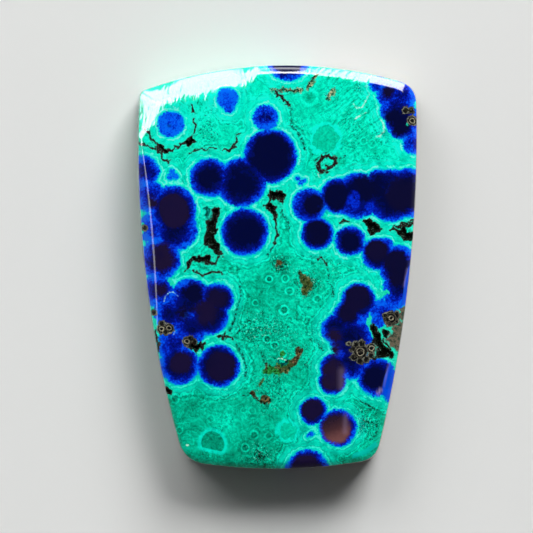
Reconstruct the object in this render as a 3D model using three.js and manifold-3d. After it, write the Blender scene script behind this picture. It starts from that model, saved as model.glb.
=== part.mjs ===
// A polished freeform of azurite in malachite: one solid stone, four-sided and tapered, with
// bowed sides and rounded corners. Its face is almost flat, has a few open vugs and rolls over
// into a bevel. The bevel is widest in the middle of the left side and at the soft shoulder that
// takes up the top left corner and half of the top. Below it are a low wall that leans inwards as
// it rises, a small chamfer and a flat back, on which the stone rests.
//
// Millimetres, +Z up out of the face, +Y towards the wide end. The origin is the middle of the
// flat back.

import * as THREE from "three";
import { mergeVertices } from "three/addons/utils/BufferGeometryUtils.js";
import Module from "manifold-3d";

// The sharp corners that the four sides would meet in, before they are rounded.
const TOP_LEFT = new THREE.Vector2(-14.55, 18.41);
const TOP_RIGHT = new THREE.Vector2(14.6, 18.93);
const BOTTOM_RIGHT = new THREE.Vector2(10.4, -20.12);
const BOTTOM_LEFT = new THREE.Vector2(-9.85, -20.32);

// In order: top, right, bottom, left. A bow is how far the middle of a side's arc stands out from
// its chord.
const BOWS = [2.5, 1.4, 0.95, 1.68];
const BEVEL_WIDTHS = [1.15, 0.75, 0.9, 0.5];
const WIDTH_BLEND = 1.2; // how gradually one side's bevel width passes into the next at a corner
// In order: the corners top right, bottom right, bottom left, top left.
const CORNER_ROUNDS = [1.7, 1.5, 1.9, 0.6];

// The left bevel is an almost straight facet on a bowed side, so it is widest in the middle.
const FACET_WIDTH = 1.1;
const FACET_MIDDLE = 3.0;
const FACET_REACH = 9.5;

// Towards the top left corner the bevel widens into a soft shoulder, and again at the corner itself.
const SHOULDER_RIGHT = -2.9;
const SHOULDER_RIGHT_BLEND = 2.0;
const SHOULDER_BOTTOM = 14.7;
const SHOULDER_BOTTOM_BLEND = 3.0;
const SHOULDER_WIDTH = 1.4;
const CORNER_RIGHT = -12.0;
const CORNER_BLEND = 3.5;
const CORNER_WIDTH = 0.9;

const FACE_MIDDLE_Z = 6.0;
const FACE_FALL = 0.42; // how much lower the face would be at its rim, were there no bevel
const BEVEL_STEEPNESS = 0.65; // slope at the bevel's foot, from where it rolls over into the face

// The wall, from the back upwards: how far in from the widest outline, and how high, as a share of
// the height of the bevel's foot.
const BACK_INSET = 0.75;
const WALL = [
  { inset: 0.2, share: 0.08 },
  { inset: 0.0, share: 0.25 },
  { inset: 0.08, share: 0.57 },
  { inset: 0.19, share: 0.82 },
];
const BEVEL_FOOT_INSET = 0.3;
const PATCH_INSET = 2.1; // where the bevel's rings give way to the face's grid

// The open vugs, as outlines seen from above. Their floors are flat.
const VUG_DEPTH = 0.3;
const VUGS = {
  post: [
    [-6.6, 6.2], [-5.9, 6.2], [-6.3, 5.0], [-6.4, 2.9], [-5.7, 1.4], [-6.2, 1.3],
    [-6.6, 1.8], [-7.6, 2.5], [-7.3, 4.4], [-7.4, 4.8], [-6.9, 4.9],
  ],
  hook: [
    [-9.4, -0.2], [-9.3, 0.7], [-8.7, 1.2], [-8.0, 1.1], [-7.1, 1.3], [-6.9, 0.8],
    [-6.4, 0.5], [-7.0, 0.3], [-7.8, 0.6], [-8.5, 0.7], [-8.9, 0.5], [-9.1, 0.0],
  ],
  flag: [
    [-0.8, 7.9], [0.6, 7.8], [0.7, 7.5], [0.5, 6.3], [0.3, 6.9], [-0.3, 7.3], [-0.7, 6.8],
    [-0.2, 6.3], [-0.1, 5.4], [-0.2, 4.8], [-0.5, 5.5], [-1.4, 6.4], [-0.9, 6.8],
  ],
  diamond: [
    [8.9, 4.8], [9.6, 5.2], [9.9, 4.8], [10.9, 4.0], [10.2, 3.8], [9.8, 3.3], [9.3, 3.8],
  ],
  tongue: [
    [11.5, 4.0], [12.9, 4.1], [13.2, 3.7], [13.7, 3.6], [13.7, 2.9], [12.9, 3.2], [12.2, 3.7],
  ],
  delta: [
    [9.9, -6.1], [10.2, -6.4], [10.5, -7.4], [10.9, -8.2], [11.5, -8.8], [11.9, -9.1],
    [11.9, -9.3], [10.9, -9.2], [10.5, -9.2], [10.7, -8.7], [10.4, -8.0], [10.0, -7.7],
    [9.9, -7.0],
  ],
  underBall: [
    [-12.7, 12.8], [-12.0, 12.6], [-11.3, 12.2], [-11.3, 11.8], [-11.9, 11.9], [-12.4, 12.1],
  ],
  besideBall: [[-9.7, 13.1], [-8.8, 13.6], [-8.5, 13.0], [-9.2, 12.6], [-9.6, 12.7]],
};
const ABOVE_FACE = FACE_MIDDLE_Z + 1;

const STEPS_ACROSS = 26;
const STEPS_ALONG = 36;
const BEVEL_RINGS = 8; // from the bevel's foot to the face's grid
const RING_CROWDING = 1.3; // draws those rings towards the foot
const CORNER_CROWDING = 0.09; // draws the steps along a side towards its corners
const HALVINGS = 40; // of the interval in which a contour is searched for

// Distances that surely lead outside the stone: a share of a corner's distance from the origin,
// and millimetres beyond a side's chord.
const PAST_CORNER = 1.1;
const PAST_SIDE = BOWS[0] + 1;

const STONE_COLOUR = 0x12b796;

// A side is the arc of a large circle: its depth at a point is how far inside that circle the
// point lies.
function sideArc(start, end, bow) {
  const chord = end.clone().sub(start);
  const half = chord.length() / 2;
  const radius = (half * half + bow * bow) / (2 * bow);
  const inward = new THREE.Vector2(chord.y, -chord.x).normalize();
  const centre = start.clone().lerp(end, 0.5).addScaledVector(inward, radius - bow);
  return { centre, radius };
}

const SIDES = [
  sideArc(TOP_LEFT, TOP_RIGHT, BOWS[0]),
  sideArc(TOP_RIGHT, BOTTOM_RIGHT, BOWS[1]),
  sideArc(BOTTOM_RIGHT, BOTTOM_LEFT, BOWS[2]),
  sideArc(BOTTOM_LEFT, TOP_LEFT, BOWS[3]),
];

const depths = (x, y) => SIDES.map((s) => s.radius - Math.hypot(x - s.centre.x, y - s.centre.y));

// The smaller of two values, with the crease between them rounded over the given width.
function softMin(a, b, width) {
  const overlap = Math.max(width - Math.abs(a - b), 0) / width;
  return Math.min(a, b) - (overlap * overlap * width) / 4;
}

// The depth inside the whole outline: the least of the four, rounded at the corners.
function depthAt(x, y) {
  const four = depths(x, y);
  return Math.min(...four.map((depth, i) => softMin(depth, four[(i + 1) % 4], CORNER_ROUNDS[i])));
}

// From 0 to 1 and held at both ends.
function ease(share) {
  const held = Math.min(Math.max(share, 0), 1);
  return held * held * (3 - 2 * held);
}

// 1 in the soft shoulder, 0 elsewhere.
function shoulder(x, y) {
  const across = ease(0.5 + (SHOULDER_RIGHT - x) / SHOULDER_RIGHT_BLEND);
  const along = ease(0.5 + (y - SHOULDER_BOTTOM) / SHOULDER_BOTTOM_BLEND);
  return across * along;
}

// Near a corner the width passes from one side's to the next's.
function bevelWidth(x, y) {
  const nearness = depths(x, y).map((depth) => Math.exp(-depth / WIDTH_BLEND));
  const total = nearness.reduce((sum, n) => sum + n);
  const facet = FACET_WIDTH * Math.max(1 - ((y - FACET_MIDDLE) / FACET_REACH) ** 2, 0);
  const widths = [BEVEL_WIDTHS[0], BEVEL_WIDTHS[1], BEVEL_WIDTHS[2], BEVEL_WIDTHS[3] + facet];
  const own = nearness.reduce((sum, n, i) => sum + (n / total) * widths[i], 0);
  const corner = ease(0.5 + (CORNER_RIGHT - x) / CORNER_BLEND);
  return own + shoulder(x, y) * (SHOULDER_WIDTH + CORNER_WIDTH * corner);
}

function faceHeight(x, y) {
  const across = x / TOP_RIGHT.x;
  const along = y / (TOP_RIGHT.y + BOWS[0]);
  return FACE_MIDDLE_Z - FACE_FALL * (across * across + along * along);
}

const footHeight = (x, y) => faceHeight(x, y) - (BEVEL_STEEPNESS * bevelWidth(x, y)) / 2;

// The face, and the bevel that rolls down from it with a slope growing evenly towards the foot.
function topHeight(x, y) {
  const width = bevelWidth(x, y);
  const share = (depthAt(x, y) - BEVEL_FOOT_INSET) / width;
  const rest = Math.min(Math.max(1 - share, 0), 1);
  return faceHeight(x, y) - (BEVEL_STEEPNESS * width * rest * rest) / 2;
}

// Where depthAt passes the inset between a point inside and a point outside.
function crossing(inside, outside, inset) {
  let near = 0;
  let far = 1;
  for (let i = 0; i < HALVINGS; i++) {
    const middle = (near + far) / 2;
    const point = inside.clone().lerp(outside, middle);
    if (depthAt(point.x, point.y) > inset) near = middle;
    else far = middle;
  }
  return inside.clone().lerp(outside, near);
}

const crowded = (share) => share - CORNER_CROWDING * Math.sin(2 * Math.PI * share);

// The four sides of the contour that lies inset from the outline, each as a list of points
// between corners.
function contour(inset) {
  const middle = new THREE.Vector2(0, 0);
  const cornerOf = (corner) =>
    crossing(middle, corner.clone().multiplyScalar(PAST_CORNER), inset);
  const topLeft = cornerOf(TOP_LEFT);
  const topRight = cornerOf(TOP_RIGHT);
  const bottomRight = cornerOf(BOTTOM_RIGHT);
  const bottomLeft = cornerOf(BOTTOM_LEFT);
  const side = (from, to, steps, outwards) => {
    const points = [];
    for (let i = 0; i <= steps; i++) {
      const on = from.clone().lerp(to, crowded(i / steps));
      if (i > 0 && i < steps) {
        const inside = on.clone().addScaledVector(outwards, -1);
        on.copy(crossing(inside, on.clone().addScaledVector(outwards, PAST_SIDE), inset));
      }
      points.push(on);
    }
    return points;
  };
  return {
    bottom: side(bottomLeft, bottomRight, STEPS_ACROSS, new THREE.Vector2(0, -1)),
    right: side(bottomRight, topRight, STEPS_ALONG, new THREE.Vector2(1, 0)),
    top: side(topLeft, topRight, STEPS_ACROSS, new THREE.Vector2(0, 1)),
    left: side(bottomLeft, topLeft, STEPS_ALONG, new THREE.Vector2(-1, 0)),
  };
}

// A contour as one loop, anticlockwise seen from above, starting at the bottom left corner.
const loopOf = ({ bottom, right, top, left }) => [
  ...bottom.slice(0, -1),
  ...right.slice(0, -1),
  ...top.slice(1).reverse(),
  ...left.slice(1).reverse(),
];

// The face's grid: a point of the patch that the four sides of its rim span.
function patchPoint({ bottom, right, top, left }, i, k) {
  const u = crowded(i / STEPS_ACROSS);
  const v = crowded(k / STEPS_ALONG);
  const corners = bottom[0]
    .clone()
    .multiplyScalar((1 - u) * (1 - v))
    .addScaledVector(bottom[STEPS_ACROSS], u * (1 - v))
    .addScaledVector(top[0], (1 - u) * v)
    .addScaledVector(top[STEPS_ACROSS], u * v);
  return bottom[i]
    .clone()
    .multiplyScalar(1 - v)
    .addScaledVector(top[i], v)
    .addScaledVector(left[k], 1 - u)
    .addScaledVector(right[k], u)
    .sub(corners);
}

function stoneGeometry() {
  const positions = [];
  const triangles = [];
  const add = (x, y, z) => positions.push(x, y, z) / 3 - 1;
  const quad = (a, b, c, d) => triangles.push(a, b, c, a, c, d);

  const level = (inset, share) =>
    loopOf(contour(inset)).map((p) => add(p.x, p.y, share * footHeight(p.x, p.y)));
  const rings = [level(BACK_INSET, 0), ...WALL.map(({ inset, share }) => level(inset, share))];

  // The bevel.
  const foot = loopOf(contour(BEVEL_FOOT_INSET));
  const rim = contour(PATCH_INSET);
  const rimLoop = loopOf(rim);
  for (let step = 0; step <= BEVEL_RINGS; step++) {
    const share = (step / BEVEL_RINGS) ** RING_CROWDING;
    const ring = foot.map((p, j) => p.clone().lerp(rimLoop[j], share));
    rings.push(ring.map((p) => add(p.x, p.y, topHeight(p.x, p.y))));
  }
  const last = rings[rings.length - 1];

  for (let r = 0; r + 1 < rings.length; r++) {
    const [low, high] = [rings[r], rings[r + 1]];
    low.forEach((a, j) => {
      const next = (j + 1) % low.length;
      quad(a, low[next], high[next], high[j]);
    });
  }

  // The flat back, a fan round its middle.
  const backMiddle = add(0, 0, 0);
  rings[0].forEach((a, j) => triangles.push(backMiddle, rings[0][(j + 1) % rings[0].length], a));

  // The face. Its rim uses the last ring's points again.
  const onRim = (i, k) => {
    if (k === 0) return last[i];
    if (i === STEPS_ACROSS) return last[STEPS_ACROSS + k];
    if (k === STEPS_ALONG) return last[2 * STEPS_ACROSS + STEPS_ALONG - i];
    return last[(2 * STEPS_ACROSS + 2 * STEPS_ALONG - k) % last.length];
  };
  const grid = [];
  for (let i = 0; i <= STEPS_ACROSS; i++) {
    grid.push([]);
    for (let k = 0; k <= STEPS_ALONG; k++) {
      const edge = i === 0 || k === 0 || i === STEPS_ACROSS || k === STEPS_ALONG;
      const p = patchPoint(rim, i, k);
      grid[i].push(edge ? onRim(i, k) : add(p.x, p.y, topHeight(p.x, p.y)));
    }
  }
  for (let i = 0; i < STEPS_ACROSS; i++) {
    for (let k = 0; k < STEPS_ALONG; k++) {
      quad(grid[i][k], grid[i + 1][k], grid[i + 1][k + 1], grid[i][k + 1]);
    }
  }

  return indexedGeometry(positions, triangles);
}

function indexedGeometry(positions, triangles) {
  const geometry = new THREE.BufferGeometry();
  geometry.setAttribute("position", new THREE.Float32BufferAttribute(positions, 3));
  geometry.setIndex(Array.from(triangles));
  return geometry;
}

// A prism from a vug's floor to above the face.
function vugPrism(outline) {
  const floor = Math.min(...outline.map(([x, y]) => topHeight(x, y))) - VUG_DEPTH;
  const shape = new THREE.Shape(outline.map(([x, y]) => new THREE.Vector2(x, y)));
  const prism = new THREE.ExtrudeGeometry(shape, { depth: ABOVE_FACE - floor, bevelEnabled: false });
  prism.translate(0, 0, floor);
  prism.deleteAttribute("normal");
  prism.deleteAttribute("uv");
  return mergeVertices(prism);
}

const wasm = await Module();
wasm.setup();

function solidOf(geometry) {
  const vertProperties = geometry.getAttribute("position").array;
  const triVerts = new Uint32Array(geometry.getIndex().array);
  return new wasm.Manifold(new wasm.Mesh({ numProp: 3, vertProperties, triVerts }));
}

let solid = solidOf(stoneGeometry());
for (const outline of Object.values(VUGS)) {
  solid = solid.subtract(solidOf(vugPrism(outline)));
}
const cut = solid.getMesh();
const geometry = indexedGeometry(cut.vertProperties, cut.triVerts);
geometry.computeVertexNormals();

const stone = new THREE.Mesh(
  geometry,
  new THREE.MeshStandardMaterial({ color: STONE_COLOUR, roughness: 0.08, metalness: 0 }),
);
stone.name = "polished_stone";

const freeform = new THREE.Group();
freeform.add(stone);

export default freeform;
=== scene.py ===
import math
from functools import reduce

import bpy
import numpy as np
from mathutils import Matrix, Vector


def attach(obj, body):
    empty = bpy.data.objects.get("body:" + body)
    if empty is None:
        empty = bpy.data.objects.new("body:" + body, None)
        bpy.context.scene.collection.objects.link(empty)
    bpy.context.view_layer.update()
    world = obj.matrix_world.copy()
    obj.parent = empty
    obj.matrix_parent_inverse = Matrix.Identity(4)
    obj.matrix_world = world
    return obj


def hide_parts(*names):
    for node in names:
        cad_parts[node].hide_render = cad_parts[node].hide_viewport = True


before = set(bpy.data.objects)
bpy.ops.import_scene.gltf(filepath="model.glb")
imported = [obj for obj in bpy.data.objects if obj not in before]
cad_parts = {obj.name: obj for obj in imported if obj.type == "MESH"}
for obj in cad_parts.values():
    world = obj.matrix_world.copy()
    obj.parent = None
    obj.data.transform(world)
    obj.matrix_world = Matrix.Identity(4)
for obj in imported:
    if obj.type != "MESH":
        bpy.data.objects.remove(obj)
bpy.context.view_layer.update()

# A polished freeform of azurite in malachite. The stone's surface is one fine mesh that follows the packed
# solid's shape. Named features, placed where the photograph shows them, are turned into smooth fields on that
# mesh, and a procedural material turns the fields into nodules with fuzzy rims, banded malachite, open
# cracks, sooty lace and rust.
#
# Shape sizes are millimetres, with +Z out of the face and +Y towards the wide end. Features are placed in
# pixels of the photograph's 533-pixel frame. The mesh itself is written in metres.

MM = 0.001
rng = np.random.default_rng(79)

# ---------------------------------------------------------------- the view of the photograph

FRAME_PIXELS = 533
PIXEL = 0.105  # millimetres in a pixel at the height of the stone's widest outline
OUTLINE_Z = 1.3
FACE_Z = 5.75
CAMERA_RISE = 300.0  # above the widest outline
IMAGE_CENTRE = np.array([-1.155, 0.063])  # where the optical axis meets the stone
FACE_PIXEL = PIXEL * (CAMERA_RISE - (FACE_Z - OUTLINE_Z)) / CAMERA_RISE


def place(x, y):
    """The point of the face, in millimetres, that a pixel of the photograph shows."""
    middle = FRAME_PIXELS / 2
    return IMAGE_CENTRE + FACE_PIXEL * np.array([x - middle, middle - y])


# ---------------------------------------------------------------- the stone's shape

TOP_LEFT = np.array([-14.55, 18.41])
TOP_RIGHT = np.array([14.6, 18.93])
BOTTOM_RIGHT = np.array([10.4, -20.12])
BOTTOM_LEFT = np.array([-9.85, -20.32])
BOWS = (2.5, 1.4, 0.95, 1.68)  # top, right, bottom, left
CORNER_ROUNDS = (1.7, 1.5, 1.9, 0.6)  # top right, bottom right, bottom left, top left
FACE_MIDDLE_Z = 6.0
FACE_FALL = 0.42  # how much lower the face would be at its rim, were there no bevel
BEVEL_STEEPNESS = 0.65  # slope at the bevel's foot, from where it rolls over into the face
BEVEL_WIDTHS = (1.15, 0.75, 0.9, 0.5)  # top, right, bottom, left
BEVEL_FOOT_INSET = 0.3
WIDTH_BLEND = 1.2  # how gradually one side's bevel width passes into the next at a corner
# The left bevel is an almost straight facet on a bowed side, so it is widest in the middle.
FACET_WIDTH = 1.1
FACET_MIDDLE = 3.0
FACET_REACH = 9.5
# Towards the top left corner the bevel widens into a soft shoulder, and again at the corner itself.
SHOULDER_RIGHT = -2.9
SHOULDER_RIGHT_BLEND = 2.0
SHOULDER_BOTTOM = 14.7
SHOULDER_BOTTOM_BLEND = 3.0
SHOULDER_WIDTH = 1.4
CORNER_RIGHT = -12.0
CORNER_BLEND = 3.5
CORNER_WIDTH = 0.9
# Inside the contour at this inset, the face is one grid, its steps crowded towards the corners.
PATCH_INSET = 2.1
CORNER_CROWDING = 0.09
# A contour's points are found by halving a way from inside the stone to well outside it.
HALVINGS = 40
PAST_CORNER = 1.1
PAST_SIDE = BOWS[0] + 1

# The wall and the small chamfer under it: how far in from the widest outline, and how high, as a share of the
# height of the bevel's foot.
WALL = ((0.75, 0.0), (0.6, 0.017), (0.4, 0.045), (0.2, 0.08), (0.08, 0.135), (0.02, 0.19), (0.0, 0.25),
        (0.02, 0.34), (0.05, 0.46), (0.08, 0.57), (0.13, 0.69), (0.19, 0.82), (0.25, 0.93))
STEPS_ACROSS = 208
STEPS_ALONG = 300
COARSER = 2  # the wall and the back have this many times fewer steps
BEVEL_RINGS = 12
RING_CROWDING = 1.5  # draws the bevel's rings towards its foot


def side_arc(start, end, bow):
    """Centre and radius of the arc that bows out between two corners."""
    chord = end - start
    half = np.hypot(*chord) / 2
    radius = (half * half + bow * bow) / (2 * bow)
    inward = np.array([chord[1], -chord[0]]) / (2 * half)
    return (start + end) / 2 + inward * (radius - bow), radius


CORNERS = (TOP_LEFT, TOP_RIGHT, BOTTOM_RIGHT, BOTTOM_LEFT)
SIDES = [side_arc(CORNERS[i], CORNERS[(i + 1) % 4], BOWS[i]) for i in range(4)]


def soft_min(a, b, width):
    overlap = np.maximum(width - np.abs(a - b), 0) / width
    return np.minimum(a, b) - overlap * overlap * width / 4


def depths(points):
    return [radius - np.hypot(points[:, 0] - centre[0], points[:, 1] - centre[1]) for centre, radius in SIDES]


def depth_at(points):
    """How far inside the rounded outline each point lies."""
    four = depths(points)
    rounded = [soft_min(four[i], four[(i + 1) % 4], CORNER_ROUNDS[i]) for i in range(4)]
    return np.min(rounded, axis=0)


def ease(share):
    share = np.clip(share, 0, 1)
    return share * share * (3 - 2 * share)


def shoulder(points):
    """1 round the top left corner, 0 elsewhere."""
    across = ease(0.5 + (SHOULDER_RIGHT - points[:, 0]) / SHOULDER_RIGHT_BLEND)
    along = ease(0.5 + (points[:, 1] - SHOULDER_BOTTOM) / SHOULDER_BOTTOM_BLEND)
    return across * along


def bevel_width(points):
    x, y = points[:, 0], points[:, 1]
    nearness = np.exp(-np.array(depths(points)) / WIDTH_BLEND)
    nearness /= nearness.sum(axis=0)
    facet = FACET_WIDTH * np.maximum(1 - ((y - FACET_MIDDLE) / FACET_REACH) ** 2, 0)
    corner = ease(0.5 + (CORNER_RIGHT - x) / CORNER_BLEND)
    soft = shoulder(points) * (SHOULDER_WIDTH + CORNER_WIDTH * corner)
    return np.array(BEVEL_WIDTHS) @ nearness + facet * nearness[3] + soft


def bevel_share(points):
    """0 at the bevel's foot and 1 where the face begins."""
    return (depth_at(points) - BEVEL_FOOT_INSET) / bevel_width(points)


def face_height(points):
    across = points[:, 0] / TOP_RIGHT[0]
    along = points[:, 1] / (TOP_RIGHT[1] + BOWS[0])
    return FACE_MIDDLE_Z - FACE_FALL * (across**2 + along**2)


def foot_height(points):
    return face_height(points) - BEVEL_STEEPNESS * bevel_width(points) / 2


def top_height(points):
    rest = np.clip(1 - bevel_share(points), 0, 1)
    return face_height(points) - BEVEL_STEEPNESS * bevel_width(points) * rest**2 / 2


def line_distance(points, line):
    """Distance of each point to a line of two or more points."""
    nearest = np.full(len(points), np.inf)
    for start, end in zip(line[:-1], line[1:]):
        step = np.asarray(end) - start
        share = np.clip((points - start) @ step / (step @ step), 0, 1)
        away = points - start - share[:, None] * step
        nearest = np.minimum(nearest, np.hypot(away[:, 0], away[:, 1]))
    return nearest


def line_sides(points, line):
    """The distance to a broken line, and 1 on its left side or -1 on its right."""
    nearest, side = np.full(len(points), np.inf), np.ones(len(points))
    for start, end in zip(line[:-1], line[1:]):
        away = line_distance(points, np.array([start, end]))
        turn = (points - start) @ np.array([start[1] - end[1], end[0] - start[0]])
        side = np.where(away < nearest, np.sign(turn), side)
        nearest = np.minimum(nearest, away)
    return nearest, side


def crossing(inside, outside, inset):
    """Where the ways from inside to outside cross the contour that lies inset from the outline."""
    near = np.zeros(len(inside))
    far = np.ones(len(inside))
    for _ in range(HALVINGS):
        middle = (near + far) / 2
        deeper = depth_at(inside + (outside - inside) * middle[:, None]) > inset
        near = np.where(deeper, middle, near)
        far = np.where(deeper, far, middle)
    return inside + (outside - inside) * near[:, None]


def crowded(steps):
    share = np.arange(steps + 1) / steps
    return share - CORNER_CROWDING * np.sin(2 * np.pi * share)


def contour(inset, across, along):
    """The four sides of the contour that lies inset from the outline."""
    ends = crossing(np.zeros((4, 2)), np.array(CORNERS) * PAST_CORNER, inset)
    top_left, top_right, bottom_right, bottom_left = ends

    def side(start, end, steps, outwards):
        on = start + (end - start) * crowded(steps)[:, None]
        found = crossing(on - outwards, on + PAST_SIDE * np.array(outwards), inset)
        found[0], found[-1] = start, end
        return found

    return {
        "bottom": side(bottom_left, bottom_right, across, (0, -1)),
        "right": side(bottom_right, top_right, along, (1, 0)),
        "top": side(top_left, top_right, across, (0, 1)),
        "left": side(bottom_left, top_left, along, (-1, 0)),
    }


def loop_of(sides):
    """A contour as one loop, anticlockwise seen from above, starting at the bottom left corner."""
    return np.vstack([sides["bottom"][:-1], sides["right"][:-1], sides["top"][:0:-1], sides["left"][:0:-1]])


def patch(sides, across, along):
    """The grid of points that a contour's four sides span."""
    u = crowded(across)[:, None, None]
    v = crowded(along)[None, :, None]
    bottom, top = sides["bottom"][:, None], sides["top"][:, None]
    left, right = sides["left"][None], sides["right"][None]
    corners = (
        bottom[:1] * (1 - u) * (1 - v) + bottom[-1:] * u * (1 - v) + top[:1] * (1 - u) * v + top[-1:] * u * v
    )
    return bottom * (1 - v) + top * v + left * (1 - u) + right * u - corners


def patch_indices(first, rim, across, along):
    """Vertex numbers of a patch's grid.

    Its rim is the loop that it joins, and its inner points are numbered from first on.
    """
    grid = np.empty((across + 1, along + 1), int)
    grid[1:-1, 1:-1] = first + np.arange((across - 1) * (along - 1)).reshape(across - 1, along - 1)
    grid[:, 0] = rim[: across + 1]
    grid[-1, :] = rim[across : across + along + 1]
    grid[::-1, -1] = rim[across + along : 2 * across + along + 1]
    grid[0, ::-1] = np.append(rim[2 * across + along :], rim[0])
    return grid


def stone_mesh():
    """Vertices, in millimetres, and faces of the closed surface."""
    few_across, few_along = STEPS_ACROSS // COARSER, STEPS_ALONG // COARSER
    vertices, faces, count = [], [], 0

    def add(flat, z):
        nonlocal count
        vertices.append(np.column_stack([flat, np.broadcast_to(z, len(flat))]))
        count += len(flat)
        return np.arange(count - len(flat), count)

    def band(low, high):
        faces.extend(np.column_stack([low, np.roll(low, -1), np.roll(high, -1), high]).tolist())

    def fill(grid, upwards):
        quads = np.stack([grid[:-1, :-1], grid[1:, :-1], grid[1:, 1:], grid[:-1, 1:]], axis=-1).reshape(-1, 4)
        faces.extend((quads if upwards else quads[:, ::-1]).tolist())

    wall = []
    for inset, share in WALL:
        ring = loop_of(contour(inset, few_across, few_along))
        wall.append(add(ring, share * foot_height(ring)))
    for low, high in zip(wall[:-1], wall[1:]):
        band(low, high)
    back_sides = contour(WALL[0][0], few_across, few_along)
    back = patch(back_sides, few_across, few_along)[1:-1, 1:-1].reshape(-1, 2)
    back_first = add(back, 0.0)[0]
    fill(patch_indices(back_first, wall[0], few_across, few_along), upwards=False)

    foot = loop_of(contour(BEVEL_FOOT_INSET, STEPS_ACROSS, STEPS_ALONG))
    rim_sides = contour(PATCH_INSET, STEPS_ACROSS, STEPS_ALONG)
    rim = loop_of(rim_sides)
    shares = (np.arange(BEVEL_RINGS + 1) / BEVEL_RINGS) ** RING_CROWDING
    rings = [foot + (rim - foot) * share for share in shares]
    bevel = [add(ring, top_height(ring)) for ring in rings]
    for low, high in zip(bevel[:-1], bevel[1:]):
        band(low, high)
    coarse, fine = wall[-1], bevel[0]
    for j, a in enumerate(coarse):
        b = coarse[(j + 1) % len(coarse)]
        one, two, three = fine[COARSER * j], fine[COARSER * j + 1], fine[(COARSER * j + 2) % len(fine)]
        faces.extend([[a, two, one], [a, b, two], [b, three, two]])
    face = patch(rim_sides, STEPS_ACROSS, STEPS_ALONG)[1:-1, 1:-1].reshape(-1, 2)
    face_first = add(face, top_height(face))[0]
    fill(patch_indices(face_first, bevel[-1], STEPS_ACROSS, STEPS_ALONG), upwards=True)
    return np.vstack(vertices), faces


# ---------------------------------------------------------------- the features, in pixels of the photograph

# Azurite nodules: x, y, radius, and how many times wider than usual the bright rim is.
NODULES = {
    "top edge": [(288, 59.5, 21.5, 1.3)], "bright left": [(170, 124, 12.6, 8), (171.5, 124, 12.8, 8)],
    "bright top": [(227.5, 98.5, 10.8, 8), (229.5, 107, 5.6, 8)], "mottled": [(265.5, 117.5, 12.6, 2.6)],
    "biggest": [(270.5, 156, 26.8, 0.9)],
    "middle pair": [(241.5, 182.5, 24.5, 1.2), (209.5, 178, 19.5, 1.2)],
    "middle ball": [(245, 232, 23.5, 1)],
    "right band": [
        (338.5, 196, 18, 0.9), (358, 195.5, 22.8, 1.1), (379.5, 184.5, 15.5, 1), (391, 195.5, 26, 1.1),
        (410, 193, 24.5, 1.1),
    ],
    "small by the band": [(309, 205.5, 17, 1.5), (317, 233.5, 16.4, 0.7)],
    "small middle right": [(350, 241, 15.2, 0.9)],
    "right corner ball": [(377.5, 254, 16, 0.8), (384.5, 246.5, 8.8, 2)],
    "right edge": [
        (399, 266, 20.5, 1.2), (403, 285, 19.5, 1.6), (396, 297, 12.5, 3), (382.5, 312.5, 13.5, 3),
    ],
    "chain": [
        (358.5, 300.5, 17.3, 0.8), (347.5, 315, 15, 0.9), (337, 329, 15.5, 1.2), (351, 339, 22, 1.6),
        (352, 361.5, 17.5, 1.6), (334, 368, 14.2, 0.7), (332.5, 381, 13.6, 0.6),
    ],
    "round the delta": [(364, 318, 6, 3), (379, 320, 8, 2)],
    "lower right edge": [(377.5, 377.5, 19.5, 1), (391, 393, 9, 2)], "lower small": [(313, 411, 13.6, 0.6)],
    "lower umber": [(338, 428, 18.4, 0.9)], "bottom edge": [(307.5, 471.5, 22, 0.9)],
    "top right": [
        (378, 84, 8.5, 1.4), (389.5, 94.5, 12.8, 1.7), (398, 108, 17.2, 2), (404, 121, 18.3, 1.2),
        (416, 142, 12.5, 1.5), (404, 93, 13.5, 1.6),
    ],
    "middle crumbs": [(297, 178.5, 2.4, 8), (300.5, 183.5, 2.5, 8), (304, 180.5, 2.3, 8)],
    "left edge": [(143.5, 171, 16, 1.6), (149, 196, 16, 2), (152, 228, 15, 2), (157, 291, 16.5, 1.6)],
    "left violet": [(173, 209, 23.5, 1.1), (176, 229.5, 21, 1.6)],
    "left lower violet": [(160, 259, 20.3, 1.4)],
    "heart": [
        (191, 300, 21.4, 1.7), (217.5, 299, 16, 0.8), (209, 315, 20, 1), (192, 326, 17, 1.8),
        (171, 314, 17, 1.8),
    ],
    "left foot": [(172, 345, 15.5, 2.2)], "lower pair": [(179, 365, 20, 1.3), (218.5, 366, 21, 0.9)],
    "left crumbs": [(172, 171.5, 3, 8), (169.5, 177, 3.1, 8), (175.5, 176.5, 3.4, 8)],
    "lower crumbs": [(312, 434, 2.6, 8), (308.5, 436, 1.8, 8)],
}

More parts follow.
